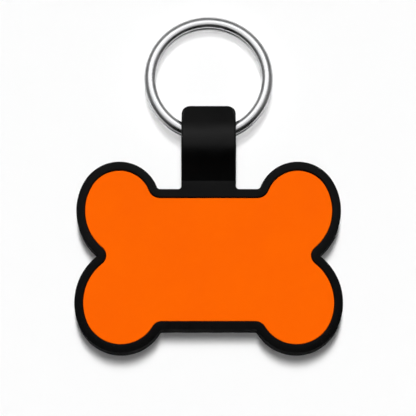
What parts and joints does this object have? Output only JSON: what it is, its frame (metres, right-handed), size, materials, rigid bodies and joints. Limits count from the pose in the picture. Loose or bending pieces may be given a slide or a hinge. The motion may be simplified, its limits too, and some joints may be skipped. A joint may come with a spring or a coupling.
{
  "type": "pet id tag",
  "caption": "Bone-shaped pet tag: a soft black bone with a raised rim and an orange face, hung by a strap loop on a flattened-wire split ring.",
  "frame": {"origin": "on the flat back face, halfway between the points of the two side notches", "axes": "+X across the bone, +Y from the bone towards the split ring, +Z out of the front face"},
  "size_m": [0.041, 0.053, 0.006],
  "materials": {
    "body": "satin moulded silicone",
    "panel": "matt moulded silicone",
    "strap": "satin silicone strip",
    "ring": "bright nickel-plated steel"
  },
  "bodies": {
    "tag": {"bone_body": "body", "face_panel": "panel", "hanger_strap": "strap"},
    "ring": {"split_ring": "ring"}
  },
  "joints": [
    {"name": "ring_swing", "type": "hinge", "parent": "tag", "child": "ring", "pos_m": [0, 0.0195, 0.00264], "axis": [1, 0, 0], "range_deg": [-142, 163]}
  ]
}
